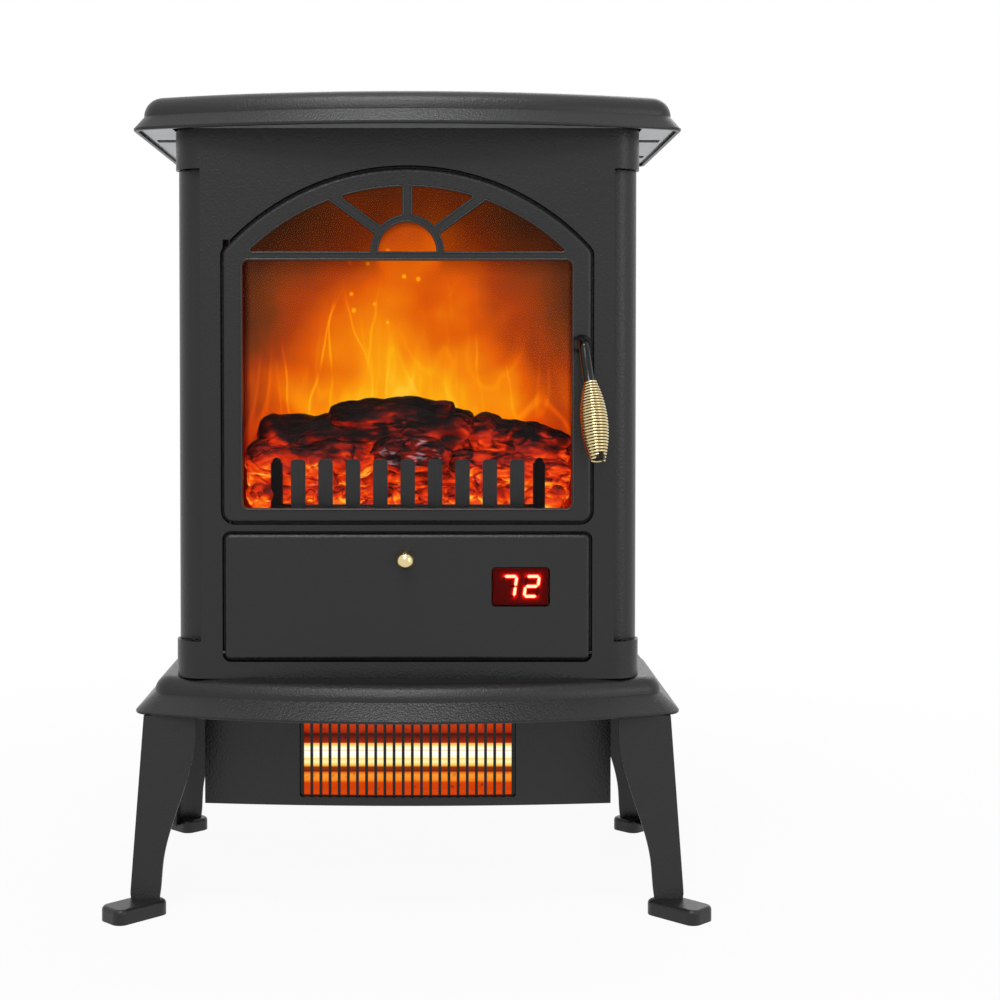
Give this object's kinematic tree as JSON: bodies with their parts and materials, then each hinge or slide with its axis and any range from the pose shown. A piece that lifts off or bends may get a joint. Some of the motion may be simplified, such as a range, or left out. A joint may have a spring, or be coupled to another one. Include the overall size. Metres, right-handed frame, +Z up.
{
  "type": "electric fireplace",
  "caption": "Free-standing electric stove with an arched glass door over a lit log bed and flame screen, a drop-down control flap, a quartz heater grille and splayed legs.",
  "frame": {"origin": "on the floor, under the middle of the case", "axes": "+X to the right seen from the front, -Y out of the front, +Z up"},
  "size_m": [0.426, 0.286, 0.58],
  "materials": {
    "case_paint": "fine-textured charcoal powder coat with a soft satin sheen",
    "case_moulding": "fine-textured charcoal moulding, heat-resistant, with a soft satin sheen",
    "zinc_steel": "zinc-plated folded sheet steel",
    "rod_paint": "satin black enamel on bent steel rod",
    "brass": "polished pale brass",
    "glass": "clear tempered glass",
    "flame_acrylic": "back-lit flame screen of diffusing acrylic",
    "log_resin": "moulded resin logs, charred and glowing",
    "ember_resin": "back-lit translucent ember tray",
    "mirror_foil": "bright reflector sheet",
    "quartz": "glowing quartz heater tube",
    "ceramic": "unglazed ceramic",
    "display_lens": "deep red display filter",
    "display_body": "dark display module with red segments",
    "black_plastic": "moulded black plastic",
    "motor_steel": "plain motor casing",
    "circuit_board": "green circuit board"
  },
  "bodies": {
    "root": {"base_shelf": "case_moulding", "blower_housing": "zinc_steel", "blower_motor": "motor_steel", "case_screws": "zinc_steel", "control_board": "circuit_board", "control_panel": "black_plastic", "cord_gland": "black_plastic", "display_module": "display_body", "door_catch": "black_plastic", "ember_bed": "ember_resin", "ember_light_board": "circuit_board", "firebox_liner": "zinc_steel", "flame_light_board": "circuit_board", "flame_screen": "flame_acrylic", "flap_catch": "black_plastic", "front_fascia": "case_moulding", "front_left_leg": "case_moulding", "front_right_leg": "case_moulding", "heater_front": "case_moulding", "heater_grille": "case_paint", "heater_housing": "zinc_steel", "heater_reflector": "mirror_foil", "left_side_panel": "case_paint", "lid_underplate": "zinc_steel", "log_guard": "case_paint", "log_set": "log_resin", "power_board": "circuit_board", "quartz_tubes": "quartz", "rear_left_leg": "case_moulding", "rear_panel": "case_paint", "rear_right_leg": "case_moulding", "right_side_panel": "case_paint", "spindle_bracket": "zinc_steel", "spindle_motor": "motor_steel", "thermal_cutout": "black_plastic", "tip_over_switch": "black_plastic", "top_cover": "case_moulding", "tube_end_caps": "ceramic"},
    "door": {"door_frame": "case_moulding", "door_glass": "glass", "glass_clips": "zinc_steel", "door_hinge_pins": "zinc_steel", "door_strike_plate": "zinc_steel"},
    "handle": {"handle_rod": "rod_paint", "handle_coil_grip": "brass", "handle_nut": "zinc_steel"},
    "flap": {"control_flap": "case_moulding", "flap_hinge_pins": "zinc_steel", "flap_knob": "brass", "display_window": "display_lens", "flap_strike_plate": "zinc_steel"},
    "spindle": {"spindle_shaft": "zinc_steel", "reflector_blades": "mirror_foil"},
    "fan": {"blower_wheel": "black_plastic"},
    "power_key": {"power_button": "black_plastic"},
    "flame_key": {"flame_button": "black_plastic"},
    "warmer_key": {"warmer_button": "black_plastic"},
    "cooler_key": {"cooler_button": "black_plastic"},
    "timer_key": {"timer_button": "black_plastic"}
  },
  "joints": [
    {"name": "door_hinge", "type": "hinge", "parent": "root", "child": "door", "pos_m": [-0.1275, -0.0862, 0.38], "axis": [0, 0, -1], "range_deg": [0, 90]},
    {"name": "handle_turn", "type": "hinge", "parent": "door", "child": "handle", "pos_m": [0.125, -0.0905, 0.403], "axis": [0, -1, 0], "range_deg": [0, 90]},
    {"name": "flap_hinge", "type": "hinge", "parent": "root", "child": "flap", "pos_m": [0, -0.086, 0.1805], "axis": [1, 0, 0], "range_deg": [0, 90]},
    {"name": "spindle_spin", "type": "hinge", "parent": "root", "child": "spindle", "pos_m": [0, 0.024, 0.305], "axis": [1, 0, 0], "continuous": true},
    {"name": "fan_spin", "type": "hinge", "parent": "root", "child": "fan", "pos_m": [0, 0.04, 0.108], "axis": [1, 0, 0], "continuous": true},
    {"name": "power_press", "type": "slide", "parent": "root", "child": "power_key", "axis": [0, 1, 0], "range_m": [0, 0.0015], "stiffness_N_per_m": 200},
    {"name": "flame_press", "type": "slide", "parent": "root", "child": "flame_key", "axis": [0, 1, 0], "range_m": [0, 0.0015], "stiffness_N_per_m": 200},
    {"name": "warmer_press", "type": "slide", "parent": "root", "child": "warmer_key", "axis": [0, 1, 0], "range_m": [0, 0.0015], "stiffness_N_per_m": 200},
    {"name": "cooler_press", "type": "slide", "parent": "root", "child": "cooler_key", "axis": [0, 1, 0], "range_m": [0, 0.0015], "stiffness_N_per_m": 200},
    {"name": "timer_press", "type": "slide", "parent": "root", "child": "timer_key", "axis": [0, 1, 0], "range_m": [0, 0.0015], "stiffness_N_per_m": 200}
  ]
}
